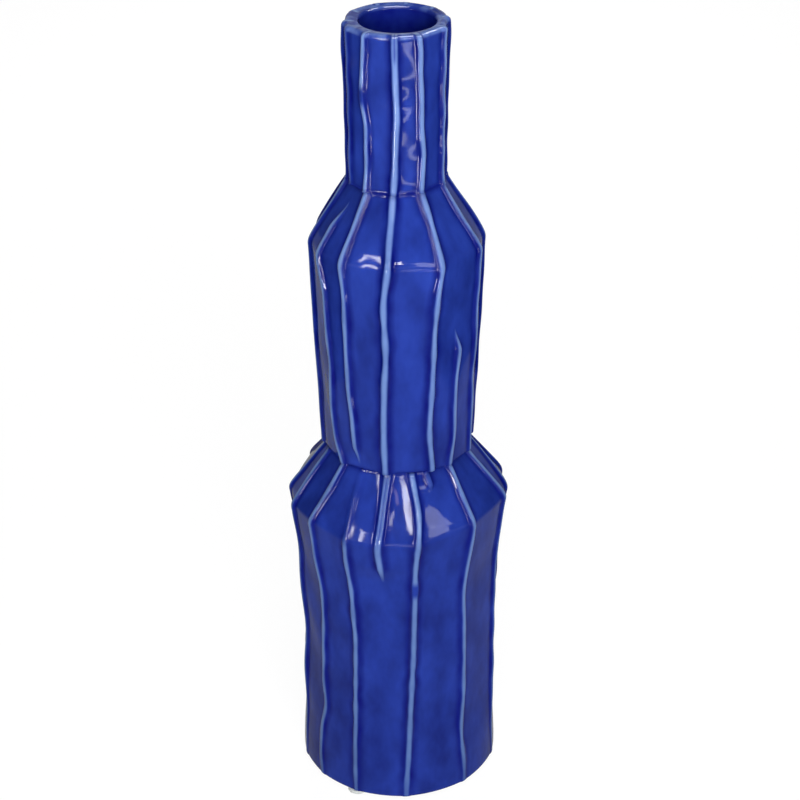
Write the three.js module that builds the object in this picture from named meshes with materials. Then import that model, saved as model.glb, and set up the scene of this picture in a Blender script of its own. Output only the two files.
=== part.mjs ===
import * as THREE from 'three';

// Earthenware vase: three hollow clay tiers, stacked and luted together, with
// ridges drawn up their sides, on a flat slab with three small stick-on pads.
// Millimetres, +Z up. The origin lies on the surface that the vase stands on,
// on the axis that the tiers share, and the vase's front faces -Y.

// Heights
const padThickness = 2;
const slabThickness = 6;
const lowerTierHeight = 177;
const middleTierHeight = 139.5;
const neckHeight = 75.5;
const lowerShoulderDrop = 27.5;
const middleShoulderDrop = 31;

// Outer radii, measured over the crests of the ridges
const footRadius = 50.5;
const waistRadius = 49.4;
const lowerShoulderRadius = 54.4;
const lowerHeadRadius = 35.5;
const middleFootRadius = 37.6;
const middleShoulderRadius = 41.7;
const middleHeadRadius = 24.2;
const neckFootRadius = 23.7;
const rimRadius = 24.8;

// The sharp corner that a shoulder's edge is rounded from stands a little proud of
// the shoulder's radius, and the lower wall ends a little inside it
const cornerOver = 0.3;
const wallUnder = 0.1;

// The lower wall is narrowest between these shares of its height, and the neck is
// drawn in by this much halfway up
const waistFrom = 1 / 3;
const waistTo = 0.72;
const neckDraw = 0.2;

// Inside
const boreRadius = 17.9;
const throatRadius = 28.6;
const wallThickness = 5;

// Rounded edges
const footRound = 1.8;
const shoulderRound = 2;
const shoulderEase = 4;
const shoulderLean = 24;
const creaseRound = 1.6;
const rimRound = 3;
const rimDip = 0.4;
const lipRound = 1;

// Ridges: a bead of clay over each corner, with nearly flat panels between
const beadHeight = 1.2;
const beadWidth = 4.2;
const panelBow = 0.15;
const panelColumns = 2;

// Towards the foot, which is nearly round, they stand out less. The share of their
// relief that is left there, and the height over which they gain the rest
const footRelief = 0.25;
const footReliefLength = 60;

// Pads
const padRadius = 5;
const padRound = 0.7;
const padInset = 5;
const padOffset = footRadius - padInset;
const padBearings = [-28, 103, 226];
const padSides = 24;

// Levels where the pieces meet
const underside = padThickness;
const slabTop = underside + slabThickness;
const lowerSeam = slabTop + lowerTierHeight;
const upperSeam = lowerSeam + middleTierHeight;
const rimTop = upperSeam + neckHeight;

// Where each ridge runs: its bearing in degrees from the front, positive to the
// right, at even steps from the foot of its tier to the head. A ridge that does
// not run the whole way names the share of the height where it fades.
const lowerRidges = [
  { bearings: [4, 6, 8, 9, 9.5, 11] },
  { bearings: [41.5, 38.5, 41, 39, 42.5, 45] },
  { bearings: [74, 73, 74, 75, 77.5, 74] },
  { bearings: [104, 105, 103, 100, 90, 98] },
  { bearings: [118, 118, 116, 112, 106, 108.5], risesAt: 0.8 },
  { bearings: [134, 133, 135, 133, 132, 137] },
  { bearings: [165, 168, 167, 165, 169, 167] },
  { bearings: [197, 195, 198, 200, 198, 201] },
  { bearings: [228, 230, 227, 228, 233, 237] },
  { bearings: [258, 257, 258, 259.5, 266.5, 269] },
  { bearings: [286, 286, 287, 287, 285, 285] },
  { bearings: [308, 308.5, 311, 312.5, 307, 311] },
  { bearings: [334, 333.5, 334, 334, 331, 330] },
  { bearings: [350, 350, 351, 351.5, 349.5, 351.5], risesAt: 0.74 },
];
const middleRidges = [
  { bearings: [26.5, 23.5, 25, 26, 30.5, 29.5] },
  { bearings: [43, 45, 47, 47, 48, 48], fadesAt: 0.5 },
  { bearings: [70, 69, 67.5, 69, 69.5, 66] },
  { bearings: [98, 96, 95, 94, 95, 96] },
  { bearings: [129, 131, 130, 128, 131, 133] },
  { bearings: [160, 158, 161, 162, 160, 158] },
  { bearings: [188, 190, 188, 187, 191, 193] },
  { bearings: [218, 216, 217, 220, 218, 219] },
  { bearings: [246, 247, 249, 246, 247, 245] },
  { bearings: [274, 274, 275, 274, 274, 274] },
  { bearings: [312, 305, 305, 303, 297.5, 299], fadesAt: 0.93 },
  { bearings: [328, 326, 322.5, 323, 321, 323], risesAt: 0.05 },
  { bearings: [350.5, 350, 351.5, 351.5, 354.5, 355.5] },
];
const neckRidges = [
  { bearings: [30, 31.5, 29, 28, 27.5, 24] },
  { bearings: [67, 65.5, 65.5, 65, 65.5, 65] },
  { bearings: [99, 101, 100, 98, 97, 99] },
  { bearings: [134, 132, 131, 133, 134, 132] },
  { bearings: [166, 167, 169, 168, 166, 168] },
  { bearings: [203, 201, 200, 202, 204, 203] },
  { bearings: [238, 239, 237, 236, 237, 239] },
  { bearings: [274, 275, 275, 276, 275, 275] },
  { bearings: [294, 293, 294, 295, 294, 293] },
  { bearings: [321.5, 325, 324, 317, 322, 323] },
  { bearings: [356, 358.5, 359.5, 359.5, 359, 358.5] },
];

// How high the bead stands across its width, from one side to the other
const beadSection = [
  { across: -0.5, rise: 0 },
  { across: -0.3, rise: 0.75 },
  { across: 0, rise: 1 },
  { across: 0.3, rise: 0.75 },
  { across: 0.5, rise: 0 },
];
const fadeLength = 0.08;
const fullTurn = 360;

// A tier's ridges are worked out between these two levels
const lowerSpan = { ridges: lowerRidges, from: underside, to: lowerSeam };
const middleSpan = { ridges: middleRidges, from: lowerSeam, to: upperSeam };
const neckSpan = { ridges: neckRidges, from: upperSeam, to: rimTop };

function bearingAt(ridge, share) {
  const stations = ridge.bearings.map((bearing, step) => new THREE.Vector2(step, bearing));
  return new THREE.SplineCurve(stations).getPoint(THREE.MathUtils.clamp(share, 0, 1)).y;
}

// 1 where the ridge stands at its full height, 0 where it has faded out
function presence(ridge, share) {
  if (ridge.risesAt !== undefined) {
    return THREE.MathUtils.smoothstep(share, ridge.risesAt - fadeLength, ridge.risesAt);
  }
  if (ridge.fadesAt !== undefined) {
    return 1 - THREE.MathUtils.smoothstep(share, ridge.fadesAt, ridge.fadesAt + fadeLength);
  }
  return 1;
}

// Radius of a nearly flat panel between two corners, at one bearing
function panelRadius(bearing, from, to, cornerRadius) {
  const half = THREE.MathUtils.degToRad((to - from) / 2);
  const offCentre = THREE.MathUtils.degToRad(bearing - (from + to) / 2);
  const flat = cornerRadius * Math.cos(half) / Math.cos(offCentre);
  return flat + panelBow * (cornerRadius - flat);
}

// Turns a bearing by whole turns until it lies within half a turn of another
function nearestTurn(bearing, other) {
  return bearing - fullTurn * Math.round((bearing - other) / fullTurn);
}

// Radius of the panels at one bearing, where a faded ridge makes no corner
function outlineRadius(bearing, corners, cornerRadius) {
  const around = corners.map((corner) => ({
    at: nearestTurn(corner.bearing, bearing),
    presence: corner.presence,
  }));
  const before = around.filter((corner) => corner.at <= bearing).sort((a, b) => b.at - a.at);
  const after = around.filter((corner) => corner.at > bearing).sort((a, b) => a.at - b.at);
  const near = [before[0], after[0]];
  const faded = near.find((corner) => corner.presence < 1);
  const sharp = panelRadius(bearing, near[0].at, near[1].at, cornerRadius);
  if (!faded) {
    return sharp;
  }
  const left = near[0] === faded ? before[1] : near[0];
  const right = near[1] === faded ? after[1] : near[1];
  const plain = panelRadius(bearing, left.at, right.at, cornerRadius);
  return THREE.MathUtils.lerp(plain, sharp, faded.presence);
}

// Points round the vase at one row. A row has its crest radius, its height and
// its relief: 1 where the ridges and panels stand out in full, 0 where it is round.
function ring(span, row) {
  const share = (row.height - span.from) / (span.to - span.from);
  const corners = span.ridges.map((ridge) => ({
    bearing: bearingAt(ridge, share),
    presence: presence(ridge, share),
  }));
  const beadAngle = THREE.MathUtils.radToDeg(beadWidth / (row.radius + row.inset));
  const cornerRadius = row.radius - beadHeight;
  const points = [];
  const place = (bearing, bead) => {
    const shaped = outlineRadius(bearing, corners, cornerRadius) + bead;
    const radius = THREE.MathUtils.lerp(row.radius, shaped, row.relief);
    const angle = THREE.MathUtils.degToRad(bearing);
    points.push([radius * Math.sin(angle), -radius * Math.cos(angle), row.height]);
  };
  corners.forEach((corner, index) => {
    for (const { across, rise } of beadSection) {
      place(corner.bearing + across * beadAngle, rise * beadHeight * corner.presence);
    }
    const next = corners[(index + 1) % corners.length];
    const nextBearing = nearestTurn(next.bearing, corner.bearing + fullTurn / 2);
    const start = corner.bearing + beadAngle / 2;
    const end = nextBearing - beadAngle / 2;
    for (let column = 1; column <= panelColumns; column += 1) {
      place(THREE.MathUtils.lerp(start, end, column / (panelColumns + 1)), 0);
    }
  });
  return points;
}

function geometryOf(vertices, faces) {
  const geometry = new THREE.BufferGeometry();
  geometry.setAttribute('position', new THREE.Float32BufferAttribute(vertices.flat(), 3));
  geometry.setIndex(faces.flat());
  geometry.computeVertexNormals();
  return geometry;
}

function skinBetween(rows, columns, closed) {
  const faces = [];
  const bands = closed ? rows : rows - 1;
  for (let row = 0; row < bands; row += 1) {
    const above = (row + 1) % rows;
    for (let column = 0; column < columns; column += 1) {
      const beside = (column + 1) % columns;
      const a = row * columns + column;
      const b = row * columns + beside;
      const c = above * columns + beside;
      const d = above * columns + column;
      faces.push([a, b, c], [a, c, d]);
    }
  }
  return faces;
}

// A hollow tier: its rows run up the outside and back down the inside
function tierGeometry(span, rows) {
  const rings = rows.map((row) => ring(span, row));
  return geometryOf(rings.flat(), skinBetween(rows.length, rings[0].length, true));
}

// A solid slab: its rows run up the side, and a fan closes each end
function slabGeometry(span, rows) {
  const rings = rows.map((row) => ring(span, row));
  const columns = rings[0].length;
  const vertices = rings.flat();
  const faces = skinBetween(rows.length, columns, false);
  const bottomCentre = vertices.push([0, 0, rows[0].height]) - 1;
  const topCentre = vertices.push([0, 0, rows.at(-1).height]) - 1;
  const topStart = (rows.length - 1) * columns;
  for (let column = 0; column < columns; column += 1) {
    const beside = (column + 1) % columns;
    faces.push([bottomCentre, beside, column]);
    faces.push([topCentre, topStart + column, topStart + beside]);
  }
  return geometryOf(vertices, faces);
}

// Samples curves of radius and height, end to end, into rows
function trace(stretches, relief, inset) {
  const rows = [];
  for (const [curve, steps] of stretches) {
    const points = curve.getPoints(steps);
    const fresh = rows.length > 0 ? points.slice(1) : points;
    rows.push(...fresh.map((point) => ({ radius: point.x, height: point.y, relief, inset })));
  }
  return rows;
}

// The same row, with the relief that its height above the foot calls for
function settleAtFoot(row) {
  const share = THREE.MathUtils.smoothstep(row.height, underside, underside + footReliefLength);
  return { ...row, relief: THREE.MathUtils.lerp(footRelief, 1, share) };
}

function at(radius, height) {
  return new THREE.Vector2(radius, height);
}

function line(from, to) {
  return new THREE.LineCurve(from, to);
}

function bend(from, corner, to) {
  return new THREE.QuadraticBezierCurve(from, corner, to);
}

// How far a chamber's round wall lies inside the crest radius
function skinDepth(span, radius) {
  const panelDepth = radius * (1 - Math.cos(Math.PI / span.ridges.length));
  return beadHeight + panelDepth + wallThickness;
}

// A shoulder turns over a crisp edge, and its slope eases into a straight one
function shoulderStretches(below, corner, head) {
  const angle = THREE.MathUtils.degToRad(shoulderLean);
  const inward = at(-Math.sin(angle), Math.cos(angle));
  const edge = corner.clone().addScaledVector(inward, shoulderRound);
  const knee = corner.clone().addScaledVector(inward, shoulderEase);
  const settled = knee.clone().lerp(head, shoulderEase / knee.distanceTo(head));
  return [
    [bend(below, corner, edge), 2],
    [bend(edge, knee, settled), 2],
    [line(settled, head), 3],
  ];
}

// The wall of the lower tier, drawn in towards its waist and flared to the shoulder
function lowerWall(inset, top) {
  const rise = top - slabTop;
  return new THREE.CubicBezierCurve(
    at(footRadius - inset, slabTop),
    at(waistRadius - inset, slabTop + rise * waistFrom),
    at(waistRadius - inset, slabTop + rise * waistTo),
    at(lowerShoulderRadius - inset - wallUnder, top),
  );
}

function lowerTierRows() {
  const span = lowerSpan;
  const shoulder = lowerSeam - lowerShoulderDrop;
  const inset = skinDepth(span, waistRadius);
  const corner = at(lowerShoulderRadius + cornerOver, shoulder);
  const belowCorner = at(lowerShoulderRadius - wallUnder, shoulder - shoulderRound);
  const outside = trace([
    [lowerWall(0, belowCorner.y), 8],
    ...shoulderStretches(belowCorner, corner, at(lowerHeadRadius, lowerSeam)),
  ], 1, 0).map(settleAtFoot);
  const ceiling = at(throatRadius, lowerSeam - wallThickness);
  const chamberCorner = at(lowerShoulderRadius - inset, shoulder - wallThickness / 2);
  const inside = trace([
    [line(at(throatRadius, lowerSeam), ceiling), 1],
    [line(ceiling, chamberCorner), 2],
  ], 0, inset);
  const wall = trace([[lowerWall(inset, chamberCorner.y - shoulderRound), 5]], 0, inset);
  return [...outside, ...inside, ...wall.reverse()];
}

function slabRows() {
  const edge = at(footRadius, underside + footRound);
  return trace([
    [bend(at(footRadius - footRound, underside), at(footRadius, underside), edge), 3],
    [line(edge, at(footRadius, slabTop)), 1],
  ], 1, 0).map(settleAtFoot);
}

function middleTierRows() {
  const span = middleSpan;
  const shoulder = upperSeam - middleShoulderDrop;
  const inset = skinDepth(span, middleShoulderRadius);
  const foot = at(middleFootRadius, lowerSeam + creaseRound);
  const corner = at(middleShoulderRadius + cornerOver, shoulder);
  const belowCorner = corner.clone().lerp(foot, shoulderRound / corner.distanceTo(foot));
  const crease = at(middleFootRadius - creaseRound, lowerSeam);
  const outside = trace([
    [bend(crease, at(middleFootRadius, lowerSeam), foot), 2],
    [line(foot, belowCorner), 7],
    ...shoulderStretches(belowCorner, corner, at(middleHeadRadius, upperSeam)),
  ], 1, 0);
  const ceiling = at(boreRadius, upperSeam - wallThickness);
  const chamberCorner = at(middleShoulderRadius - inset, shoulder - wallThickness / 2);
  const chamberFoot = at(middleFootRadius - inset, lowerSeam + 2 * wallThickness);
  const inside = trace([
    [line(at(boreRadius, upperSeam), ceiling), 1],
    [line(ceiling, chamberCorner), 2],
    [line(chamberCorner, chamberFoot), 4],
    [line(chamberFoot, at(throatRadius, lowerSeam)), 1],
  ], 0, inset);
  return [...outside, ...inside];
}

function neckRows() {
  const inset = rimRadius - boreRadius;
  const waist = at((neckFootRadius + rimRadius) / 2 - neckDraw, (upperSeam + rimTop) / 2);
  const edge = at(rimRadius, rimTop - rimRound);
  const rim = at(rimRadius - rimRound, rimTop);
  const lip = at(boreRadius + lipRound, rimTop - rimDip);
  const mouth = at(boreRadius, rimTop - rimDip - lipRound);
  const outside = trace([
    [bend(at(neckFootRadius, upperSeam), waist, edge), 6],
    [bend(edge, at(rimRadius, rimTop), rim), 3],
  ], 1, 0);
  const inside = trace([
    [line(lip, mouth), 1],
    [line(mouth, at(boreRadius, upperSeam)), 3],
  ], 0, inset);
  return [...outside, ...inside];
}

// A clear bumper, flat on both faces, with its lower edge rounded
function padGeometry() {
  const edge = at(padRadius, padRound);
  const profile = [
    at(0, 0),
    ...bend(at(padRadius - padRound, 0), at(padRadius, 0), edge).getPoints(3),
    at(padRadius, padThickness),
    at(0, padThickness),
  ];
  const geometry = new THREE.LatheGeometry(profile, padSides);
  geometry.rotateX(Math.PI / 2);
  return geometry;
}

const blueGlaze = new THREE.MeshStandardMaterial({ color: '#26399c', roughness: 0.12, metalness: 0 });
const clearPad = new THREE.MeshStandardMaterial({ color: '#c9ccc8', roughness: 0.45, metalness: 0 });

function piece(name, geometry, material) {
  const mesh = new THREE.Mesh(geometry, material.clone());
  mesh.name = name;
  return mesh;
}

const vase = new THREE.Group();
vase.name = 'earthenware_vase';
vase.add(piece('base_slab', slabGeometry(lowerSpan, slabRows()), blueGlaze));
vase.add(piece('lower_tier', tierGeometry(lowerSpan, lowerTierRows()), blueGlaze));
vase.add(piece('middle_tier', tierGeometry(middleSpan, middleTierRows()), blueGlaze));
vase.add(piece('neck_tier', tierGeometry(neckSpan, neckRows()), blueGlaze));
padBearings.forEach((bearing, index) => {
  const angle = THREE.MathUtils.degToRad(bearing);
  const pad = piece(`foot_pad_${index + 1}`, padGeometry(), clearPad);
  pad.position.set(padOffset * Math.sin(angle), -padOffset * Math.cos(angle), 0);
  vase.add(pad);
});

export default vase;
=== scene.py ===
import math
import bpy
import numpy as np
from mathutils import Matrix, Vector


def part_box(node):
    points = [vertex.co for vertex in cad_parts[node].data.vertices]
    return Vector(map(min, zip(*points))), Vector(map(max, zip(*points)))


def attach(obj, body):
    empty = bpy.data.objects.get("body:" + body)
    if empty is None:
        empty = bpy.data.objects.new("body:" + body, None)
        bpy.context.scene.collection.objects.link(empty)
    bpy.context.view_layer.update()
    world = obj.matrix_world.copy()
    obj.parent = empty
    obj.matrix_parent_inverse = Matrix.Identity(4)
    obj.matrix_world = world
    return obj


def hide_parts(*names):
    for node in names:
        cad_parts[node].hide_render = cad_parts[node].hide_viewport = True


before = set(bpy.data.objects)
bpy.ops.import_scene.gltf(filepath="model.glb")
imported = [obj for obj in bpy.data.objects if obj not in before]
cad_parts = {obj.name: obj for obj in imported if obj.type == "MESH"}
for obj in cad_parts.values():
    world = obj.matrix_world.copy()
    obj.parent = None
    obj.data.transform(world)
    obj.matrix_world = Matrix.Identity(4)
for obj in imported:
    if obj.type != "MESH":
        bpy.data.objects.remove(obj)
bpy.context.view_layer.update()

# Base slab
# A disc of buff earthenware, rolled flat and luted under the lowest tier. The ridges of that
# tier run on down its edge. It is glazed cobalt blue like the rest, and bare clay underneath.
mm = 0.001
full_turn = 2 * math.pi
foot_radius = 50.5
foot_round = 1.8
slab_edge_steps = 6
slab_side_steps = 5
foot_relief = 0.25
foot_relief_length = 60
facing_down = -0.95


def level(node, end):
    """Height in mm of a node's lowest point (end 0) or highest point (end 1)."""
    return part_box(node)[end].z / mm


def ridge(bearings, **traits):
    """One ridge: its bearings in degrees from the front, positive to the right, at even
    steps up its tier, and how it differs from an ordinary ridge. Lengths are in mm. It may
    rise from the wall at one height and fade at another, lose its pale crest where it is
    broken, carry a groove between two heights, and go soft above one. swell moves the wall
    under it out or in, at even steps."""
    plain = {
        "half_width": 1.2,
        "height": 1.25,
        "pale": 1.0,
        "rises": None,
        "fades": None,
        "fade_length": 9,
        "broken": (),
        "groove": None,
        "soft_above": None,
        "swell": (0, 0),
    }
    return {"bearings": bearings, **plain, **traits}


lower_ridges = [
    ridge([350.5, 351, 351.5, 351.5, 352, 351.8, 352, 352, 352, 350.7, 349.4, 350.4, 351.6],
          rises=134, groove=(158, 190), half_width=1.5),
    ridge([364, 364.8, 365.6, 366.4, 367.1, 367.9, 368.4, 368.7, 369, 369.1, 369.8, 372.2, 371],
          broken=[(124.5, 132.5, 2)], half_width=1.35, swell=(0, 0, 0, -0.1, -0.1)),
    ridge([385, 385, 385, 385, 385, 385, 385, 385, 385, 385, 385, 385, 383],
          rises=178, fade_length=2, pale=0.15, height=1.1),
    ridge([401.5, 401.2, 399.5, 400.2, 401.4, 400.9, 400.6, 399.7, 399.2, 400.9, 402.8, 403.9, 405]),
    ridge([434, 433.5, 433, 433.3, 434, 434, 434.3, 434.8, 435.5, 437, 438, 436.8, 434],
          swell=[0.2, 0.4, 0.6, 0.6, 0.3, -0.3, -0.7, -0.4, 0.2, 0.2]),
    ridge([464, 464.5, 465, 464, 463, 462, 461, 459, 457, 453, 448, 451, 458],
          swell=[0, 0, 0, 0, 0, 0, 0, 0, -0.4, -0.8, -0.2, 0.2, 0]),
    ridge([478, 478, 477, 475, 472, 469, 466, 466, 466, 466, 466, 467, 468.5], rises=140,
          half_width=0.9),
    ridge([494, 493, 495, 493, 492, 497]),
    ridge([525, 528, 527, 525, 529, 527], swell=(-0.12, -0.12)),
    ridge([557, 555, 558, 560, 558, 561]),
    ridge([588, 590, 587, 588, 593, 597]),
    ridge([618, 617.7, 617.4, 617.2, 617.6, 618, 618.7, 619.5, 620.5, 623, 627.5, 629.5, 629],
          swell=(-0.15, -0.15)),
    ridge([646, 646, 647, 647, 645, 645]),
    ridge([668, 666.5, 667.7, 671.3, 669.7, 670.8, 671.2, 672.2, 671, 667.8, 667.5, 669.5, 671]),
    ridge([694, 693.5, 693.5, 693.8, 694, 694.4, 694.9, 694, 693.3, 691.6, 691.2, 690.5, 690],
          soft_above=156),
]


def smooth(low, high, value):
    """0 at low, 1 at high, eased at both ends. low may be above high."""
    share = np.clip((value - low) / (high - low), 0, 1)
    return share * share * (3 - 2 * share)


def between(low, high, fade, value):
    """1 from low to high, fading to 0 beyond both."""
    return smooth(low - fade, low + fade, value) * smooth(high + fade, high - fade, value)


def along(stations, share):
    """A smooth curve through evenly spaced stations, read at shares from 0 to 1."""
    stations = np.asarray(stations, float)
    last = len(stations) - 1
    place = np.clip(share, 0, 1) * last
    index = np.minimum(place.astype(int), last - 1)
    step = place - index
    before = stations[np.maximum(index - 1, 0)]
    start = stations[index]
    end = stations[index + 1]
    after = stations[np.minimum(index + 2, last)]
    slope = (end - before) * step
    curve = (2 * before - 5 * start + 4 * end - after) * step ** 2
    twist = (3 * start - before - 3 * end + after) * step ** 3
    return (2 * start + slope + curve + twist) / 2


def sway(draw, height, depth, length):
    """Small wandering of a hand-drawn line: a few slow waves up its height."""
    waves = 4
    shortest = 0.6
    longest = 1.8
    total = np.zeros_like(height)
    for _ in range(waves):
        wave = length * draw.uniform(shortest, longest)
        total += np.cos(full_turn * (height / wave + draw.uniform()))
    return depth * total / math.sqrt(waves / 2)


def pressed(draw, bearing, height, depth, length, most_turns):
    """Shallow hollows and swellings left by the hand, as waves that close round the vase."""
    waves = 16
    fewest_turns = 3
    shortest = 0.7
    longest = 2.0
    total = np.zeros_like(bearing)
    for _ in range(waves):
        turns = draw.integers(fewest_turns, most_turns)
        wave = length * draw.uniform(shortest, longest) * draw.choice((-1, 1))
        phase = full_turn * draw.uniform()
        total += np.cos(turns * bearing + full_turn * height / wave + phase)
    return depth * total / math.sqrt(waves / 2)


# How a ridge wanders by hand up its tier, each as a depth and a length of wave
course_sway = (0.05, 30)
rise_sway = (0.08, 30)
width_sway = (0.06, 18)
panel_sway = (0.1, 45)

# How a ridge starts, ends and softens
end_overrun = 2
faded_width = 0.55
groove_fade = 3
soft_start = 4
soft_end = 6
soft_share = 0.8


def trace_ridge(source, span, rows, draw):
    """Where one ridge runs and how it stands at each row."""
    height = rows[:, 1]
    share = (height - span[0]) / (span[1] - span[0])
    bearing = np.radians(along(source["bearings"], share))
    bearing += sway(draw, height, *course_sway) / rows[:, 0].max()
    fade_length = source["fade_length"]
    stand = np.ones_like(height)
    if source["rises"] is not None:
        stand *= smooth(source["rises"] - end_overrun, source["rises"] + fade_length, height)
    if source["fades"] is not None:
        stand *= smooth(source["fades"] + end_overrun, source["fades"] - fade_length, height)
    pale = source["pale"] * np.sqrt(stand)
    for low, high, fade in source["broken"]:
        pale = pale * (1 - between(low, high, fade, height))
    rise = source["height"] * stand * (1 + sway(draw, height, *rise_sway))
    if source["soft_above"] is not None:
        soft = smooth(source["soft_above"] - soft_start, source["soft_above"] + soft_end, height)
        pale = pale * (1 - soft)
        rise = rise * (1 - soft_share * soft)
    groove = np.zeros_like(height)
    if source["groove"] is not None:
        groove = between(*source["groove"], groove_fade, height)
    width = faded_width + (1 - faded_width) * stand
    half = source["half_width"] * width * (1 + sway(draw, height, *width_sway))
    swell = along(source["swell"], share) + sway(draw, height, *panel_sway)
    return {
        "bearing": bearing,
        "stand": stand,
        "pale": pale,
        "rise": rise,
        "groove": groove,
        "half": half,
        "swell": swell,
        "full_rise": source["height"],
    }


def shifted(run, turns):
    """The same ridge, counted some whole turns further round."""
    return {**run, "bearing": run["bearing"] + turns * full_turn}


def chord(bearing, start, end):
    """Radius of a flat panel between two corners."""
    span = end["bearing"] - start["bearing"]
    behind = end["bearing"] - bearing
    ahead = bearing - start["bearing"]
    across = start["corner"] * np.sin(ahead) + end["corner"] * np.sin(behind)
    return start["corner"] * end["corner"] * np.sin(span) / across


# Columns and marks across a ridge, counted in its half-widths from its middle
bead_columns = np.array([
    -2.7, -2.2, -1.8, -1.45, -1.15, -0.9, -0.5, 0, 0.5, 0.9, 1.15, 1.45, 1.8, 2.2, 2.7,
])
bead_reach = bead_columns[-1]
centre_column = len(bead_columns) // 2
bead_crest = 0.8
bead_foot = 1.95
furrow_half = 0.42
pool_edge = 0.95
pool_near = 1.25
pool_far = 1.6
pool_end = 4.2
far_off = 9.0

# The furrow along a crest, and the panel between two ridges
furrow_depth = 0.45
furrow_dulling = 0.8
panel_step = 1.4
panel_least_steps = 3
panel_bow = 0.12


def panel(ring, reach):
    """The strip of columns from the middle of one ridge to that of the next: bearing,
    radius and glaze marks. ring is those two ridges with one more on each side."""
    before, start, end, beyond = ring
    first = start["bearing"] + bead_reach * start["half"] / reach
    last = end["bearing"] - bead_reach * end["half"] / reach
    steps = max(panel_least_steps, round(float(np.mean((last - first) * reach)) / panel_step))
    shares = np.arange(1, steps) / steps
    angles = [start["bearing"] + across * start["half"] / reach for across in bead_columns[centre_column:]]
    angles += [first + (last - first) * share for share in shares]
    angles += [end["bearing"] + across * end["half"] / reach for across in bead_columns[:centre_column]]
    bearing = np.stack(angles)
    sharp = chord(bearing, start, end)
    flat = sharp + (chord(bearing, before, end) - sharp) * (1 - start["stand"])
    flat = flat + (chord(bearing, start, beyond) - sharp) * (1 - end["stand"])
    share = (bearing - start["bearing"]) / (end["bearing"] - start["bearing"])
    arc = start["corner"] + (end["corner"] - start["corner"]) * share
    radius = flat + panel_bow * (arc - flat)
    near = np.full_like(bearing, far_off)
    pale = np.zeros_like(bearing)
    pool = np.zeros_like(bearing)
    for run in (start, end):
        across = np.abs(bearing - run["bearing"]) * reach / run["half"]
        bead = smooth(bead_foot, bead_crest, across) * run["rise"]
        furrow = np.exp(-(across / furrow_half) ** 2) * run["groove"]
        radius = radius + bead - furrow_depth * furrow
        closer = across < near
        near = np.where(closer, across, near)
        pale = np.where(closer, run["pale"] * (1 - furrow_dulling * furrow), pale)
        wet = smooth(pool_end, pool_far, across) * smooth(pool_edge, pool_near, across)
        pool = np.maximum(pool, wet * run["stand"] * (run["rise"] / run["full_rise"]))
    return bearing, radius, near, pale, pool


# Dents of the hand: their depth, and the length and most turns of a wave
dent_depth = 0.12
wall_dents = (36, 15)

# The share of its relief up to which a wall shows no marks in the glaze, and from which all
unmarked_relief = 0.05
marked_relief = 0.4


def relief_grid(ridges, span, rows, relief, reach, seed, dents=wall_dents):
    """Bearing, radius and glaze marks of every vertex: one line of the grid for each row,
    with columns that follow the ridges, so that the edge of each crest stays crisp."""
    draw = np.random.default_rng(seed)
    runs = [trace_ridge(source, span, rows, draw) for source in ridges]
    for run in runs:
        run["corner"] = rows[:, 0] - run["full_rise"] + run["swell"]
    ring = [shifted(runs[-1], -1), *runs, shifted(runs[0], 1), shifted(runs[1], 1)]
    strips = [panel(ring[index:index + 4], reach) for index in range(len(runs))]
    bearing, radius, near, pale, pool = (np.concatenate(parts).T for parts in zip(*strips))
    radius = radius + pressed(draw, bearing, rows[:, 1:2], dent_depth, *dents)
    radius = rows[:, 0:1] + (radius - rows[:, 0:1]) * relief[:, None]
    shown = smooth(unmarked_relief, marked_relief, relief)[:, None]
    return bearing, radius, {"crest": near, "pale": pale * shown, "pool": pool * shown}


def straight(start, end, steps):
    """Points along a straight line."""
    share = np.linspace(0, 1, steps + 1)[:, None]
    return (1 - share) * start + share * end


def bend(start, corner, end, steps):
    """Points round a corner that the curve cuts."""
    share = np.linspace(0, 1, steps + 1)[:, None]
    return (1 - share) ** 2 * start + 2 * share * (1 - share) * corner + share ** 2 * end


def sweep(start, first, second, end, steps):
    """Points along a curve that two guides pull out of line."""
    share = np.linspace(0, 1, steps + 1)[:, None]
    rest = 1 - share
    early = rest ** 3 * start + 3 * rest ** 2 * share * first
    return early + 3 * rest * share ** 2 * second + share ** 3 * end


def at(radius, height):
    """One point of an outline, in mm."""
    return np.array([radius, height], float)


def join(*runs):
    """Stretches of an outline, end to end, as one list of points."""
    return np.vstack([runs[0], *(run[1:] for run in runs[1:])])


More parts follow.
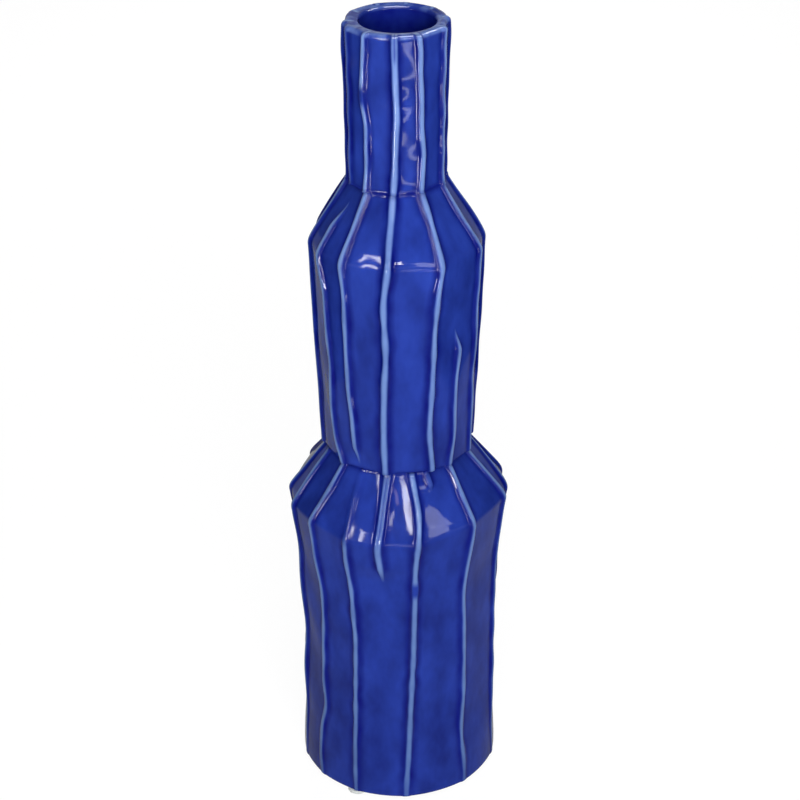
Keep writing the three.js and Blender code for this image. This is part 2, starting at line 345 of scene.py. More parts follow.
def clay_mesh(name, bearing, radius, height, marks, closed):
    """A mesh from a grid of vertices. A closed one joins its last row to its first, and
    an open one is a disc, with a fan of faces over each end."""
    crisp_edge = math.radians(60)
    x = radius * np.sin(bearing)
    y = -radius * np.cos(bearing)
    vertices = np.stack([x, y, height], axis=-1).reshape(-1, 3) * mm
    rows, columns = bearing.shape
    row = np.arange(rows if closed else rows - 1)[:, None]
    column = np.arange(columns)[None, :]
    beside = (column + 1) % columns
    above = (row + 1) % rows
    corners = [
        row * columns + column,
        row * columns + beside,
        above * columns + beside,
        above * columns + column,
    ]
    faces = np.stack(corners, axis=-1).reshape(-1, 4).tolist()
    if not closed:
        hub = len(vertices)
        top = (rows - 1) * columns
        vertices = np.vstack([vertices, vertices[:columns].mean(0), vertices[-columns:].mean(0)])
        faces += [[hub, (c + 1) % columns, c] for c in range(columns)]
        faces += [[hub + 1, top + c, top + (c + 1) % columns] for c in range(columns)]
    mesh = bpy.data.meshes.new(name)
    mesh.from_pydata(vertices.tolist(), [], faces)
    mesh.shade_smooth()
    mesh.set_sharp_from_angle(angle=crisp_edge)
    for mark, values in {"thin_glaze_and_reflection": np.zeros(bearing.shape), **marks}.items():
        layer = mesh.attributes.new(mark, "FLOAT", "POINT")
        listed = np.zeros(len(vertices), np.float32)
        listed[:values.size] = values.ravel()
        layer.data.foreach_set("value", listed)
    piece = bpy.data.objects.new(name, mesh)
    bpy.context.scene.collection.objects.link(piece)
    return piece


def linear(colour):
    """A hex colour as the linear values that a shader works in."""
    values = [int(colour[i:i + 2], 16) / 255 for i in (1, 3, 5)]
    return [v / 12.92 if v <= 0.04045 else ((v + 0.055) / 1.055) ** 2.4 for v in values] + [1]


def node(material, kind, settings=None, **links):
    """Adds a node with its settings, and links or sets its inputs, each by its name or,
    after an underscore, by its number."""
    tree = material.node_tree
    made = tree.nodes.new(kind)
    for key, value in (settings or {}).items():
        setattr(made, key, value)
    for key, value in links.items():
        socket = made.inputs[int(key[1:])] if key[1:].isdigit() else made.inputs[key.replace("_", " ")]
        if isinstance(value, bpy.types.NodeSocket):
            tree.links.new(value, socket)
        else:
            socket.default_value = value
    return made


def new_material(name):
    """A material whose nodes are still to be laid."""
    material = bpy.data.materials.new(name)
    material.use_nodes = True
    material.node_tree.nodes.clear()
    return material


# Settings that nodes share
product = {"operation": "MULTIPLY"}
product_to_one = {"operation": "MULTIPLY", "use_clamp": True}
product_plus = {"operation": "MULTIPLY_ADD"}
greater = {"operation": "MAXIMUM"}
eased = {"interpolation_type": "SMOOTHSTEP"}
colours = {"data_type": "RGBA"}


# Cobalt glaze, poured and fired glossy over the ridged clay. It runs off the crests, where it
# breaks to a pale blue, and pools beside them and in the creases, where it is nearly navy.
def cobalt_glaze():
    glaze = new_material("cobalt_gloss_glaze")
    place = node(glaze, "ShaderNodeTexCoord").outputs["Object"]
    crest = node(glaze, "ShaderNodeAttribute", {"attribute_name": "crest"}).outputs["Fac"]
    pale = node(glaze, "ShaderNodeAttribute", {"attribute_name": "pale"}).outputs["Fac"]
    pool = node(glaze, "ShaderNodeAttribute", {"attribute_name": "pool"}).outputs["Fac"]
    rim = node(glaze, "ShaderNodeAttribute", {"attribute_name": "thin_glaze_and_reflection"}).outputs["Fac"]
    run = node(glaze, "ShaderNodeMapping", Vector=place, Scale=(1, 1, 0.55)).outputs[0]

    # The body: a cloudy cobalt, painted paler towards the top of the vase as painted light from above
    rise = node(glaze, "ShaderNodeSeparateXYZ", Vector=place).outputs["Z"]
    higher = node(glaze, "ShaderNodeMapRange", Value=rise,
                  From_Min=0.0, From_Max=0.4, To_Min=0.0, To_Max=1.0).outputs[0]
    cloud = node(glaze, "ShaderNodeTexNoise", Vector=run, Scale=1 / (14 * mm), Detail=3.0, Roughness=0.55)
    tone = node(glaze, "ShaderNodeMath", product_plus, _0=higher, _1=0.2, _2=cloud.outputs["Fac"])
    body = node(glaze, "ShaderNodeValToRGB", Fac=tone.outputs[0])
    body.color_ramp.elements[0].position = 0.3
    body.color_ramp.elements[0].color = linear("#13216a")
    body.color_ramp.elements[1].position = 0.88
    body.color_ramp.elements[1].color = linear("#253c9a")

    # Beside the crests and in the creases, in patches: where it pools
    patch = node(glaze, "ShaderNodeTexNoise", Vector=place, Scale=1 / (9 * mm), Detail=2.0)
    depth = node(glaze, "ShaderNodeMath", product_plus, _0=patch.outputs["Fac"], _1=0.9, _2=0.35)
    wet = node(glaze, "ShaderNodeMath", product_to_one, _0=pool, _1=depth.outputs[0])
    pooled = node(glaze, "ShaderNodeMix", colours, _0=wet.outputs[0], _6=body.outputs[0],
                  _7=linear("#070f66"))

    # On the crests and the lip: where it runs off and breaks pale. On the lip the paleness is partly a
    # painted reflection.
    strip = node(glaze, "ShaderNodeMapRange", eased, Value=crest,
                 From_Min=1.25, From_Max=0.3, To_Min=0.0, To_Max=1.0)
    wear = node(glaze, "ShaderNodeTexNoise", Vector=run, Scale=1 / (7 * mm), Detail=2.0)
    crest_wear = node(glaze, "ShaderNodeMapRange", Value=wear.outputs["Fac"],
                      From_Min=0.3, From_Max=0.6, To_Min=0.75, To_Max=1.0)
    worn_strip = node(glaze, "ShaderNodeMath", product, _0=strip.outputs[0], _1=crest_wear.outputs[0])
    bare_crest = node(glaze, "ShaderNodeMath", product_to_one, _0=worn_strip.outputs[0], _1=pale)
    lip_wear = node(glaze, "ShaderNodeMapRange", Value=wear.outputs["Fac"],
                    From_Min=0.4, From_Max=0.6, To_Min=0.1, To_Max=1.8)
    pale_lip_and_reflection = node(glaze, "ShaderNodeMath", product, _0=lip_wear.outputs[0], _1=rim)
    broken = node(glaze, "ShaderNodeMath", greater, _0=bare_crest.outputs[0], _1=pale_lip_and_reflection.outputs[0])
    # The bare crests are painted paler towards the top as well: painted light from above
    bare = node(glaze, "ShaderNodeMix", colours, _0=higher, _6=linear("#506b9e"), _7=linear("#6f8ac3"))
    colour = node(glaze, "ShaderNodeMix", colours, _0=broken.outputs[0], _6=pooled.outputs[2],
                  _7=bare.outputs[2])

    # The surface: a faint ripple, glossy where the glaze is thick and duller where it is thin
    ripple = node(glaze, "ShaderNodeTexNoise", Vector=place, Scale=1 / (5 * mm), Detail=1.0)
    bump = node(glaze, "ShaderNodeBump", Strength=0.06, Distance=0.3 * mm, Height=ripple.outputs["Fac"])
    dulled = node(glaze, "ShaderNodeMapRange", Value=broken.outputs[0],
                  From_Min=0.0, From_Max=1.0, To_Min=0.065, To_Max=0.14)
    gloss = node(glaze, "ShaderNodeBsdfPrincipled", Base_Color=colour.outputs[2],
                 Roughness=dulled.outputs[0], IOR=1.5, Specular_IOR_Level=0.1, Normal=bump.outputs[0])
    node(glaze, "ShaderNodeOutputMaterial", Surface=gloss.outputs[0])
    return glaze


glaze = cobalt_glaze()


# Bare buff earthenware, sanded at the foot: dry, matt and faintly speckled.
def buff_clay():
    clay = new_material("bare_buff_earthenware")
    place = node(clay, "ShaderNodeTexCoord").outputs["Object"]
    grit = node(clay, "ShaderNodeTexNoise", Vector=place, Scale=1 / (1.2 * mm), Detail=4.0)
    tone = node(clay, "ShaderNodeValToRGB", Fac=grit.outputs["Fac"])
    tone.color_ramp.elements[0].position = 0.35
    tone.color_ramp.elements[0].color = linear("#b9a48c")
    tone.color_ramp.elements[1].position = 0.65
    tone.color_ramp.elements[1].color = linear("#d9c8b0")
    bump = node(clay, "ShaderNodeBump", Strength=0.4, Distance=0.2 * mm, Height=grit.outputs["Fac"])
    matt = node(clay, "ShaderNodeBsdfPrincipled", Base_Color=tone.outputs[0], Roughness=0.85,
                Normal=bump.outputs[0])
    node(clay, "ShaderNodeOutputMaterial", Surface=matt.outputs[0])
    return clay


underside = level("base_slab", 0)
slab_top = level("base_slab", 1)
lower_seam = level("lower_tier", 1)
lower_span = (underside, lower_seam)
lower_seed = 11

slab_rows = join(
    bend(
        at(foot_radius - foot_round, underside),
        at(foot_radius, underside),
        at(foot_radius, underside + foot_round),
        slab_edge_steps,
    ),
    straight(at(foot_radius, underside + foot_round), at(foot_radius, slab_top), slab_side_steps),
)


def foot_relief_at(height):
    """How far ridges and panels stand out: the foot is nearly round, and less so higher up."""
    return foot_relief + (1 - foot_relief) * smooth(underside, underside + foot_relief_length, height)


slab_relief = foot_relief_at(slab_rows[:, 1])
bearing, radius, marks = relief_grid(
    lower_ridges, lower_span, slab_rows, slab_relief, slab_rows[:, 0], lower_seed)
height = np.broadcast_to(slab_rows[:, 1:2], bearing.shape)
slab = clay_mesh("base_slab_glazed", bearing, radius, height, marks, closed=False)
slab.data.materials.append(glaze)
slab.data.materials.append(buff_clay())
for face in slab.data.polygons:
    if face.normal.z < facing_down:
        face.material_index = 1
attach(slab, "root")
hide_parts("base_slab")

# Lower tier
# The widest of three hollow earthenware tiers, drawn in a little at its waist and closed by a
# sloping shoulder. Rolls of clay pressed on as ridges stand between panels flattened by hand.
waist_radius = 49.4
waist_start = 1 / 3
waist_end = 0.72
lower_shoulder_radius = 54.4
lower_head_radius = 35.5
lower_shoulder_drop = 27.5
lower_top_radius = lower_shoulder_radius - 0.1
shoulder_round = 2
shoulder_ease = 4
shoulder_lean = 24
shoulder_proud = 0.3
slip_fill = 0.8
throat_radius = 28.6
wall_thickness = 5
lower_skin = 7.44
lower_row_step = 1.1
edge_reach = 11
edge_steps = 8
slope_steps = 22
crease_steps = 5
throat_steps = 2
ceiling_steps = 5
inner_steps = 12

lower_shoulder = lower_seam - lower_shoulder_drop
lower_corner = at(lower_shoulder_radius + shoulder_proud, lower_shoulder)
lower_below = at(lower_top_radius, lower_shoulder - shoulder_round)
lower_head = at(lower_head_radius, lower_seam)


def lean(angle, length):
    """A step up a wall that leans inward by some degrees."""
    return length * np.array([-math.sin(math.radians(angle)), math.cos(math.radians(angle))])


def shoulder_over(below, corner, head):
    """Over a crisp edge, up a slope that eases into a straight one, and into the crease
    that is filled with slip under the next tier."""
    edge = corner + lean(shoulder_lean, shoulder_round)
    knee = corner + lean(shoulder_lean, shoulder_ease)
    crease = head - at(0, slip_fill)
    climb = (crease - knee) / np.linalg.norm(crease - knee)
    settled = knee + climb * shoulder_ease
    turned = crease - climb * slip_fill
    return join(
        bend(below, corner, edge, edge_steps),
        bend(edge, knee, settled, edge_steps),
        straight(settled, turned, slope_steps),
        bend(turned, crease, head, crease_steps),
    )


def lower_wall(inset, top, steps):
    """The wall from the slab to the shoulder, or its inside when set in."""
    rise = top - slab_top
    return sweep(
        at(foot_radius - inset, slab_top),
        at(waist_radius - inset, slab_top + rise * waist_start),
        at(waist_radius - inset, slab_top + rise * waist_end),
        at(lower_top_radius - inset, top),
        steps,
    )


lower_outside = join(
    lower_wall(0, lower_below[1], round((lower_below[1] - slab_top) / lower_row_step)),
    shoulder_over(lower_below, lower_corner, lower_head),
)
lower_ceiling = at(throat_radius, lower_seam - wall_thickness)
lower_chamber = at(lower_shoulder_radius - lower_skin, lower_shoulder - wall_thickness / 2)
lower_inside = join(
    straight(at(throat_radius, lower_seam), lower_ceiling, throat_steps),
    straight(lower_ceiling, lower_chamber, ceiling_steps),
    lower_wall(lower_skin, lower_chamber[1] - shoulder_round, inner_steps)[::-1],
)

# How far the glaze pools under a crease and over it, and how much it dulls the crests there
pool_under_seam = 3
pool_over_seam = 2.5
crease_dulling = 0.5


def tier_grid(ridges, span, outside, inside, relief, seed, creases, dents=wall_dents):
    """One hollow tier as a grid: up its outside, over its head and back down its inside.
    Each crease is its height and how far the pooled glaze reaches from it."""
    rows = np.vstack([outside, inside])
    climb = outside[np.argsort(outside[:, 1])]
    outer_radius = np.interp(inside[:, 1], climb[:, 1], climb[:, 0])
    reach = np.concatenate([outside[:, 0], outer_radius])
    full = np.concatenate([relief, np.zeros(len(inside))])
    bearing, radius, marks = relief_grid(ridges, span, rows, full, reach, seed, dents)
    height = np.broadcast_to(rows[:, 1:2], bearing.shape)
    for seam, length in creases:
        wet = smooth(length, 0, np.abs(height - seam)) * full[:, None]
        marks["pool"] = np.maximum(marks["pool"], wet)
        marks["pale"] = marks["pale"] * (1 - crease_dulling * wet)
    marks["pool"][len(outside):] = 1
    return bearing, radius, height, marks


def uneven(bearing, height, shoulder, lifts, outer_rows):
    """How far the shoulder's edge was pressed up or down by hand, at bearings in degrees
    all the way round, fading out above and below the edge. The inside stays level."""
    places, amounts = zip(*lifts)
    lift = np.interp(np.degrees(bearing) % 360, places, amounts, period=360)
    lift = lift * np.exp(-((height - shoulder) / edge_reach) ** 2)
    lift[outer_rows:] = 0
    return lift


def glazed_tier(name, bearing, radius, height, marks):
    """A tier's closed wall, glazed inside and out."""
    piece = clay_mesh(name, bearing, radius, height, marks, closed=True)
    piece.data.materials.append(glaze)
    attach(piece, "root")
    return piece


lower_lifts = ((0, -2.5), (11, -3), (28, -0.5), (45, 1.5), (74, 0), (110, 1), (180, 0), (250, 1),
               (286, -2.5), (311, 0), (330, -2.5), (350, -2.5))
bearing, radius, height, marks = tier_grid(
    lower_ridges, lower_span, lower_outside, lower_inside, foot_relief_at(lower_outside[:, 1]),
    lower_seed, [(lower_seam, pool_under_seam)])
height = height + uneven(bearing, height, lower_shoulder, lower_lifts, len(lower_outside))
lower = glazed_tier("lower_tier_glazed", bearing, radius, height, marks)
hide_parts("lower_tier")

# Middle tier
# A second hollow tier, narrower at its foot, widening to a shoulder and closing to the neck.
# It stands on the lower one in a slip-filled crease, where the glaze has run dark.
middle_ridges = [
    ridge([26.5, 24, 23.4, 24.6, 25, 25.8, 27.3, 30.3, 30.9, 29.4], half_width=1.35),
    ridge([42.8, 45.5, 44.6, 45.3, 47.4, 46.5, 46.5, 47, 47, 48], fades=256, half_width=1.1),
    ridge([70, 70, 68.3, 67.6, 68, 69, 69.6, 70, 67.6, 65.8]),
    ridge([98, 96, 95, 94, 95, 96]),
    ridge([129, 131, 130, 128, 131, 133]),
    ridge([160, 158, 161, 162, 160, 158]),
    ridge([188, 190, 188, 187, 191, 193]),
    ridge([218, 216, 217, 220, 218, 219]),
    ridge([246, 247, 249, 246, 247, 245]),
    ridge([274, 274, 275, 274, 274, 274]),
    ridge([313.5, 306.5, 304.3, 305.3, 304.2, 304, 301.4, 297.1, 298.9, 299.5], fades=315),
    ridge([328.5, 326.5, 325.5, 323, 322.6, 323, 322.6, 320.6, 322, 323], rises=190),
    ridge([350.5, 350, 350, 350.6, 352, 351.6, 351.1, 353.8, 354.5, 355.6], half_width=1.5),
]
middle_foot_radius = 37.6
middle_shoulder_radius = 41.7
middle_head_radius = 24.2
middle_shoulder_drop = 31
middle_wall_steps = 95
middle_seed = 23
bore_radius = 17.9
crease_round = 1.6
middle_skin = 7.4
upper_seam = level("middle_tier", 1)
middle_span = (lower_seam, upper_seam)

middle_shoulder = upper_seam - middle_shoulder_drop
middle_foot = at(middle_foot_radius, lower_seam + crease_round)
middle_corner = at(middle_shoulder_radius + shoulder_proud, middle_shoulder)
middle_head = at(middle_head_radius, upper_seam)
middle_fall = (middle_foot - middle_corner) / np.linalg.norm(middle_foot - middle_corner)
middle_below = middle_corner + middle_fall * shoulder_round
middle_outside = join(
    bend(
        at(middle_foot_radius - crease_round, lower_seam),
        at(middle_foot_radius, lower_seam),
        middle_foot,
        crease_steps,
    ),
    straight(middle_foot, middle_below, middle_wall_steps),
    shoulder_over(middle_below, middle_corner, middle_head),
)
middle_ceiling = at(bore_radius, upper_seam - wall_thickness)
middle_chamber = at(middle_shoulder_radius - middle_skin, middle_shoulder - wall_thickness / 2)
middle_chamber_foot = at(middle_foot_radius - middle_skin, lower_seam + 2 * wall_thickness)
middle_inside = join(
    straight(at(bore_radius, upper_seam), middle_ceiling, throat_steps),
    straight(middle_ceiling, middle_chamber, ceiling_steps),
    straight(middle_chamber, middle_chamber_foot, inner_steps),
    straight(middle_chamber_foot, at(throat_radius, lower_seam), throat_steps),
)
middle_lifts = ((0, 2), (15, 1.5), (30, 0), (60, 0.5), (120, -1), (200, 1), (270, 0), (300, 0),
                (323, 0.5), (355, 2))
bearing, radius, height, marks = tier_grid(
    middle_ridges, middle_span, middle_outside, middle_inside, np.ones(len(middle_outside)),
    middle_seed, [(lower_seam, pool_over_seam), (upper_seam, pool_under_seam)])
height = height + uneven(bearing, height, middle_shoulder, middle_lifts, len(middle_outside))
middle = glazed_tier("middle_tier_glazed", bearing, radius, height, marks)
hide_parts("middle_tier")

# Neck
# A short straight tube with the boldest ridges, cut level and softly rounded at the rim. Its
# bore is glazed too, and looks nearly black a few centimetres down.
neck_ridges = [
    ridge([29.5, 30.6, 31.3, 29.3, 28.5, 28, 27.6, 27, 25], half_width=1.3),
    ridge([67, 65.5, 65.5, 65, 65.5, 65]),
    ridge([99, 101, 100, 98, 97, 99]),
    ridge([134, 132, 131, 133, 134, 132]),
    ridge([166, 167, 169, 168, 166, 168]),
    ridge([203, 201, 200, 202, 204, 203]),
    ridge([238, 239, 237, 236, 237, 239]),
    ridge([274, 275, 275, 276, 275, 275]),
    ridge([294, 293, 294, 295, 294, 293], pale=0.25, height=0.6),
    ridge([321.4, 322.8, 324.6, 324.3, 321.7, 318.7, 320.4, 322.4, 323.2], half_width=1.05,
          broken=[(365.5, 375, 3)]),
    ridge([356, 357.6, 358.6, 359.3, 360, 359.5, 359, 358.4, 358.1], half_width=1.45, groove=(388, 410)),
]
neck_foot_radius = 23.7
neck_waist = 0.2
flare_ease = 0.1
rim_radius = 24.8
rim_round = 2.4
rim_dip = 0.4
lip_round = 1.6
mouth_radius = 17.5
mouth_shift = 1.5
mouth_shift_bearing = math.radians(143)
flare_steps = 4
neck_wall_steps = 66
rim_steps = 12
flat_steps = 4
lip_steps = 10
neck_seed = 37
neck_dents = (22, 7)
rim_top = level("neck_tier", 1)
neck_span = (upper_seam, rim_top)

neck_flare = at(neck_foot_radius, upper_seam + slip_fill)
neck_middle = at((neck_foot_radius + rim_radius) / 2 - neck_waist, (upper_seam + rim_top) / 2)
rim_edge = at(rim_radius, rim_top - rim_round)
rim_face = at(rim_radius - rim_round, rim_top)
lip = at(mouth_radius + lip_round, rim_top - rim_dip)
mouth = at(mouth_radius, rim_top - rim_dip - lip_round)
neck_outside = join(
    bend(
        at(middle_head_radius, upper_seam),
        at(neck_foot_radius + flare_ease, upper_seam + slip_fill / 2),
        neck_flare,
        flare_steps,
    ),
    bend(neck_flare, neck_middle, rim_edge, neck_wall_steps),
    bend(rim_edge, at(rim_radius, rim_top), rim_face, rim_steps),
    straight(rim_face, lip, flat_steps),
)
neck_inside = join(
    bend(lip, at(mouth_radius, rim_top - rim_dip), mouth, lip_steps),
    straight(mouth, at(bore_radius, upper_seam), inner_steps),
)[1:]
neck_relief = np.ones(len(neck_outside))
neck_relief[-flat_steps:] = np.linspace(1, 0, flat_steps + 1)[1:]

# How pale the rim is painted, from a little below its top to the lip: partly glaze thinned over the rim,
# partly a painted reflection on its top
rim_thinning_and_reflection = 0.3
rim_paling_starts = 2.6
rim_paling_ends = 1
thin_glaze_and_reflection = np.concatenate([
    rim_thinning_and_reflection * smooth(rim_top - rim_paling_starts, rim_top - rim_paling_ends, neck_outside[:, 1]),
    np.linspace(rim_thinning_and_reflection, 0, lip_steps),
    np.zeros(len(neck_inside) - lip_steps),
])[:, None]

# How far the mouth sits off the axis, from the rim's face down to the foot of the bore
shift = np.concatenate([
    np.zeros(len(neck_outside) - flat_steps),
    np.linspace(0, mouth_shift, flat_steps + 1)[1:],
    mouth_shift * np.linspace(1, 0, len(neck_inside)),
])[:, None]

# How round the rim is behind, where its ridges die out under the edge
calm_share = 0.8
calm_starts = 9
calm_ends = 2
calm_side = 0.1
calm_back = -0.5
calmed = np.concatenate([
    calm_share * smooth(rim_top - calm_starts, rim_top - calm_ends, neck_outside[:, 1]),
    np.zeros(len(neck_inside)),
])[:, None]

bearing, radius, height, marks = tier_grid(
    neck_ridges, neck_span, neck_outside, neck_inside, neck_relief,
    neck_seed, [(upper_seam, pool_over_seam)], neck_dents)
marks["thin_glaze_and_reflection"] = np.broadcast_to(thin_glaze_and_reflection, bearing.shape)
marks["pool"] = marks["pool"] * (1 - thin_glaze_and_reflection / rim_thinning_and_reflection)
round_radius = np.vstack([neck_outside, neck_inside])[:, 0:1]
calm = calmed * smooth(calm_side, calm_back, np.cos(bearing))
radius = radius + (round_radius - radius) * calm
radius = radius + shift * np.cos(bearing - mouth_shift_bearing)
neck = glazed_tier("neck_tier_glazed", bearing, radius, height, marks)
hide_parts("neck_tier")

# Foot pads
# Three small stick-on bumpers of clear polyurethane, slightly cloudy, pressed under the slab.
# Each is a flat disc with a rounded lower edge.
pad_hub = 0.3
pad_round = 0.8
pad_edge = 0.2
pad_sides = 48
pad_steps = 5
pad_flat_steps = 2


# Clear polyurethane, a little cloudy: a pale grey bead with a soft shine.
def clear_polyurethane():
    clear = new_material("clear_polyurethane")
    soft = node(clear, "ShaderNodeBsdfPrincipled", Base_Color=linear("#cdd1cf"), Roughness=0.35,
                IOR=1.5, Transmission_Weight=0.15)
    node(clear, "ShaderNodeOutputMaterial", Surface=soft.outputs[0])
    return clear


pad_material = clear_polyurethane()
for number in (1, 2, 3):
    name = f"foot_pad_{number}"
    low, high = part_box(name)
    reach = (high.x - low.x) / 2 / mm
    thick = (high.z - low.z) / mm
    profile = join(
        straight(at(reach * pad_hub, 0), at(reach - pad_round, 0), pad_flat_steps),
        bend(at(reach - pad_round, 0), at(reach, 0), at(reach, pad_round), pad_steps),
        straight(at(reach, pad_round), at(reach, thick - pad_edge), pad_flat_steps),
        bend(at(reach, thick - pad_edge), at(reach, thick), at(reach - pad_edge, thick), pad_flat_steps),
    )
    bearing = np.broadcast_to(np.arange(pad_sides) * full_turn / pad_sides, (len(profile), pad_sides))
    radius = np.broadcast_to(profile[:, 0:1], bearing.shape)
    height = np.broadcast_to(profile[:, 1:2], bearing.shape)
    pad = clay_mesh(f"{name}_clear", bearing, radius, height, {}, closed=False)
    pad.data.materials.append(pad_material)
    pad.location = ((low.x + high.x) / 2, (low.y + high.y) / 2, low.z)
    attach(pad, "root")
    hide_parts(name)

# Studio
# White paper underfoot. Two windows above, a broad lamp in front and one behind give the soft
# light. The glaze alone also mirrors small lamps and two black cards.
floor_half = 9.0


# Matt white paper: bright to the camera, dimmer in the glaze, and a soft shadow under the vase.
def pale_paper():
    paper = new_material("pale_paper")
    sheet = node(paper, "ShaderNodeBsdfDiffuse", Color=linear("#dcdcdc"))
    ray = node(paper, "ShaderNodeLightPath").outputs
    bright = node(paper, "ShaderNodeMath", product_plus, _0=ray["Is Glossy Ray"], _1=-0.68, _2=1.08)
    direct = node(paper, "ShaderNodeMath", greater, _0=ray["Is Camera Ray"], _1=ray["Is Glossy Ray"])
    seen = node(paper, "ShaderNodeMath", greater, _0=direct.outputs[0], _1=ray["Is Transmission Ray"])
    share = node(paper, "ShaderNodeMath", product, _0=seen.outputs[0], _1=0.85)
    white = node(paper, "ShaderNodeEmission", Strength=bright.outputs[0])
    mixed = node(paper, "ShaderNodeMixShader", _0=share.outputs[0], _1=sheet.outputs[0],
                 _2=white.outputs[0])
    node(paper, "ShaderNodeOutputMaterial", Surface=mixed.outputs[0])
    return paper


floor_corners = [
    (-floor_half, -floor_half, 0),
    (floor_half, -floor_half, 0),
    (floor_half, floor_half, 0),
    (-floor_half, floor_half, 0),
]
floor_mesh = bpy.data.meshes.new("floor")
floor_mesh.from_pydata(floor_corners, [], [(0, 1, 2, 3)])
floor = bpy.data.objects.new("floor", floor_mesh)
floor.data.materials.append(pale_paper())
bpy.context.scene.collection.objects.link(floor)


# The room: a dim ceiling, a bright low band in front, a fainter one behind, and plain white
# to the camera.
def room_light():
    room = bpy.data.worlds.new("studio")
    room.use_nodes = True
    room.node_tree.nodes.clear()
    way = node(room, "ShaderNodeTexCoord").outputs["Generated"]
    parts = node(room, "ShaderNodeSeparateXYZ", Vector=way).outputs
    ceiling = node(room, "ShaderNodeMapRange", eased, Value=parts["Z"],
                   From_Min=0.2, From_Max=0.55, To_Min=0.05, To_Max=0.17)
    front = node(room, "ShaderNodeMapRange", eased, Value=parts["Y"],
                 From_Min=-0.2, From_Max=-0.6, To_Min=0.0, To_Max=1.8)
    front_low = node(room, "ShaderNodeMapRange", eased, Value=parts["Z"],
                     From_Min=0.2, From_Max=0.12, To_Min=0.0, To_Max=1.0)
    front_band = node(room, "ShaderNodeMath", product, _0=front.outputs[0], _1=front_low.outputs[0])
    behind = node(room, "ShaderNodeMapRange", eased, Value=parts["Y"],
                  From_Min=0.72, From_Max=0.92, To_Min=0.0, To_Max=0.6)
    behind_low = node(room, "ShaderNodeMapRange", eased, Value=parts["Z"],
                      From_Min=0.65, From_Max=0.4, To_Min=0.0, To_Max=1.0)
    back_band = node(room, "ShaderNodeMath", product, _0=behind.outputs[0], _1=behind_low.outputs[0])
    with_front = node(room, "ShaderNodeMath", {"operation": "ADD"}, _0=ceiling.outputs[0],
                      _1=front_band.outputs[0])
    with_back = node(room, "ShaderNodeMath", {"operation": "ADD"}, _0=with_front.outputs[0],
                     _1=back_band.outputs[0])
    ray = node(room, "ShaderNodeLightPath").outputs
    glow = node(room, "ShaderNodeMath", greater, _0=with_back.outputs[0], _1=ray["Is Camera Ray"])
    sky = node(room, "ShaderNodeBackground", Color=linear("#ffffff"), Strength=glow.outputs[0])
    node(room, "ShaderNodeOutputWorld", Surface=sky.outputs[0])
    return room


bpy.context.scene.world = room_light()


def soft_box(name, azimuth, distance, centre, width, tall, radiance, tint="#ffffff"):
    """A flat lamp that faces the vase, its centre at a height in metres. Azimuth 0 is at
    the camera, positive to the right."""
    aim = 0.22
    turn = math.radians(azimuth)
    tilt = math.atan2(centre - aim, distance)
    lamp = bpy.data.lights.new(name, "AREA")
    lamp.shape = "RECTANGLE"
    lamp.size = width
    lamp.size_y = tall
    lamp.energy = radiance * math.pi * width * tall
    lamp.color = linear(tint)[:3]
    box = bpy.data.objects.new(name, lamp)
    box.location = (distance * math.sin(turn), -distance * math.cos(turn), centre)
    box.rotation_euler = (math.pi / 2 - tilt, 0, turn)
    box.visible_camera = False
    bpy.context.scene.collection.objects.link(box)
    return box


def fill(*placing):
    """A broad lamp that lights the vase and isn't mirrored in its glaze."""
    soft_box(*placing).visible_glossy = False


def glint(*placing):
    """A lamp that shows as a highlight in the glaze and doesn't light the scene."""
    soft_box(*placing).visible_diffuse = False


# Black card: a dull black that darkens the panels which mirror it.
def black_card():
    black = new_material("black_card")
    dull = node(black, "ShaderNodeBsdfDiffuse", Color=linear("#0a0a0a"))
    node(black, "ShaderNodeOutputMaterial", Surface=dull.outputs[0])
    return black


black = black_card()


def dark_card(name, side):
    """A black card that stands beside the vase, out of the picture. Only the glaze sees it."""
    front = -0.3
    back = 0.25
    away = 0.4 * side
    tall = 0.26
    outline = [(away, front, 0), (away, back, 0), (away, back, tall), (away, front, tall)]
    mesh = bpy.data.meshes.new(name)
    mesh.from_pydata(outline, [], [(0, 1, 2, 3)])
    card = bpy.data.objects.new(name, mesh)
    card.data.materials.append(black)
    card.visible_camera = False
    card.visible_diffuse = False
    card.visible_shadow = False
    bpy.context.scene.collection.objects.link(card)


dark_card("left_card", -1)
dark_card("right_card", 1)

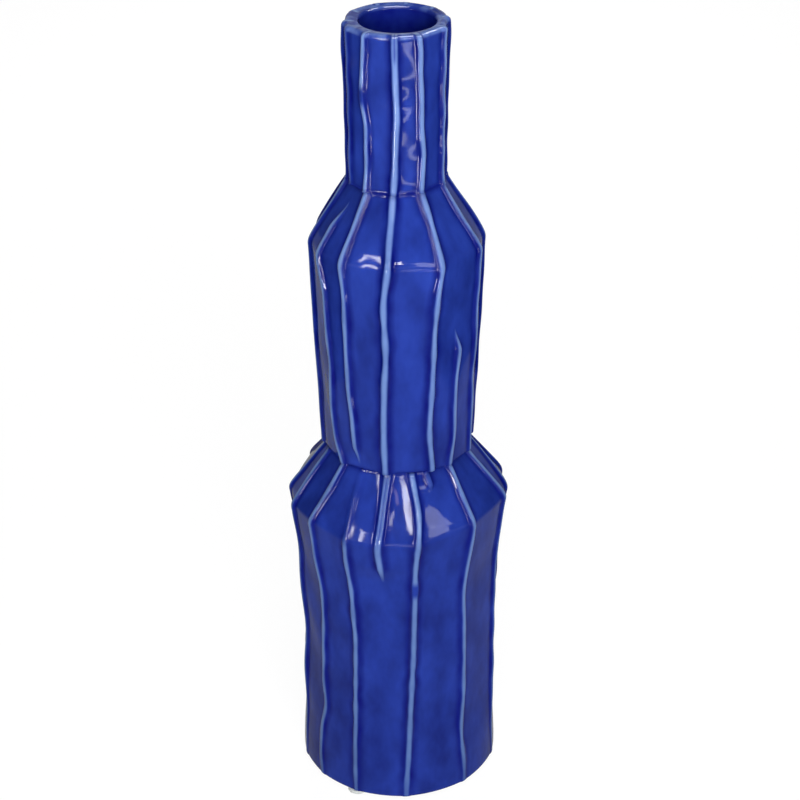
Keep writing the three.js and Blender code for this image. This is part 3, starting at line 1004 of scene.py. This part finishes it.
# Each lamp: its azimuth in degrees, its distance, height, width and tallness in metres, and
# how bright its face is. The glints are the bright lines and patches in the photograph.
soft_box("top_window", 0, 0.5, 1.3, 0.3, 0.4, 7)
soft_box("right_window", 50, 0.75, 1.4, 0.4, 0.4, 2)
fill("front_fill", 5, 1.3, 0.78, 0.7, 0.5, 16.3)
fill("back_fill", 180, 1.3, 0.9, 0.7, 0.5, 7)
glint("upper_left_glint", -47.35, 1.334, 0.93, 0.04, 0.28, 70)
glint("lower_left_glint", -41.8, 1.35, 0.52, 0.03, 0.74, 80)
glint("second_left_glint", -35.6, 1.35, 0.54, 0.05, 0.68, 60)
glint("left_bead_glint", -23, 1.05, 0.91, 0.07, 0.1, 45)
glint("right_bead_glint", 21, 1.05, 0.8, 0.06, 0.18, 80)
glint("right_glint", 33.5, 1.33, 0.6, 0.32, 0.42, 15)
glint("high_right_glint", 40.2, 0.55, 0.455, 0.083, 0.068, 15)
glint("front_glint", 9.6, 0.753, 0.7, 0.045, 0.26, 75)
glint("centre_glint", 0.2, 0.753, 0.753, 0.06, 0.09, 12, "#ffdacb")
glint("small_glint", -4.6, 0.753, 0.59, 0.013, 0.08, 50)
glint("neck_right_glint", 28, 0.624, 0.143, 0.2, 0.024, 18)
glint("low_right_glint", 28, 0.624, 0.041, 0.2, 0.018, 18)
glint("low_left_glint", -23.5, 0.3, 0.235, 0.045, 0.07, 110)
glint("overhead_glint", 20, 0.15, 1.3, 0.6, 0.6, 55)
glint("rim_glint", 110, 0.6, 1.12, 0.35, 0.35, 60)
glint("low_front_glint", 0, 0.62, 0.11, 0.08, 0.03, 18)
glint("low_strip", -8, 0.85, 0.06, 0.7, 0.12, 1.5)

# Camera
# Above the front of the vase and well back, on a long lens, tipped down at it and rolled by a
# hair. It frames the vase as the photograph does.
camera_height = 0.738
camera_distance = 0.9601
camera_side = 0.00109
camera_down = 28.98
camera_roll = -0.229

camera_data = bpy.data.cameras.new("camera")
camera_data.sensor_width = 36
camera_data.lens = 101.6
camera = bpy.data.objects.new("camera", camera_data)
camera.location = (camera_side, -camera_distance, camera_height)
camera.rotation_euler = (math.pi / 2 - math.radians(camera_down), 0, 0)
camera.rotation_euler.rotate_axis("Z", math.radians(camera_roll))
bpy.context.scene.collection.objects.link(camera)
bpy.context.scene.camera = camera
bpy.context.scene.view_settings.view_transform = "Standard"
